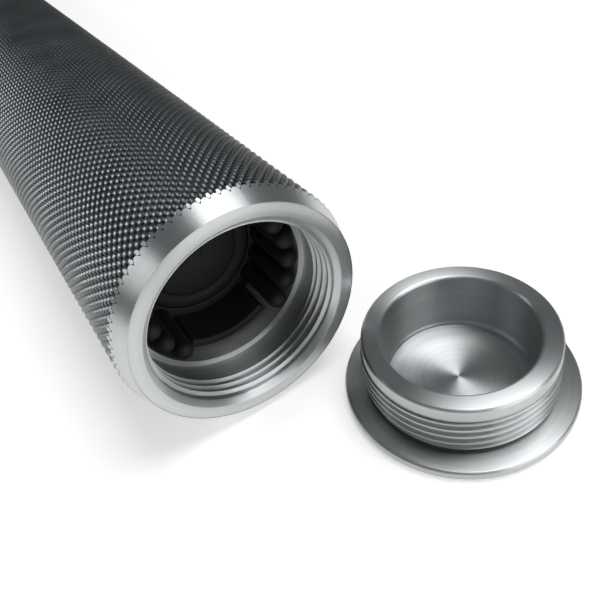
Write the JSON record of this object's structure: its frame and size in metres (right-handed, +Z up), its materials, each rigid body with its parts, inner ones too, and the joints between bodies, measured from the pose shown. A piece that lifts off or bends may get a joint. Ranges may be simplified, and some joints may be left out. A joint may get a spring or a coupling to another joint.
{
  "type": "rod case",
  "caption": "Knurled round metal tube with a hollow screw plug at each end and a finger-edged retainer inside each mouth.",
  "frame": {"origin": "on the ground under the middle of the tube's length, at the centre of the facet the tube rests on", "axes": "+Z up; +Y along the tube from its open mouth to its closed end; +X to the side where the removed plug stands"},
  "size_m": [0.0724, 0.4911, 0.045],
  "materials": {
    "knurled_steel": "dark grey anodised, diamond knurled",
    "turned_steel": "bare turned metal with fine tool marks",
    "seal_rubber": "matte",
    "black_nylon": "satin moulded",
    "foam": "closed-cell foam"
  },
  "bodies": {
    "tube": {"tube_body": "knurled_steel", "rear_retainer_crown": "black_nylon", "rear_retainer_disc": "black_nylon", "rear_retainer_pad": "foam"},
    "front_retainer": {"front_retainer_crown": "black_nylon", "front_retainer_disc": "black_nylon", "front_retainer_pad": "foam"},
    "loose_front_plug": {"front_plug": "turned_steel", "front_plug_seal": "seal_rubber"},
    "rear_seal": {"rear_plug_seal": "seal_rubber"},
    "rear_screw_plug": {"rear_plug": "turned_steel"}
  },
  "joints": [
    {"name": "front_retainer_draw", "type": "slide", "parent": "tube", "child": "front_retainer", "axis": [0, -1, 0], "range_m": [0, 0.0185]},
    {"name": "front_plug_lift", "type": "slide", "parent": "tube", "child": "loose_front_plug", "axis": [0.147, -0.147, 0.9781], "range_m": [0, 0.08]},
    {"name": "rear_plug_travel", "type": "slide", "parent": "tube", "child": "rear_seal", "axis": [0, 1, 0], "range_m": [0, 0.0119]},
    {"name": "rear_plug_turn", "type": "hinge", "parent": "rear_seal", "child": "rear_screw_plug", "pos_m": [0, 0.225, 0.0225], "axis": [0, 1, 0], "range_deg": [0, 2520]}
  ],
  "couplings": [
    {"joint": "rear_plug_travel", "follows": "rear_plug_turn", "m_per_rad": 0.00027056}
  ]
}
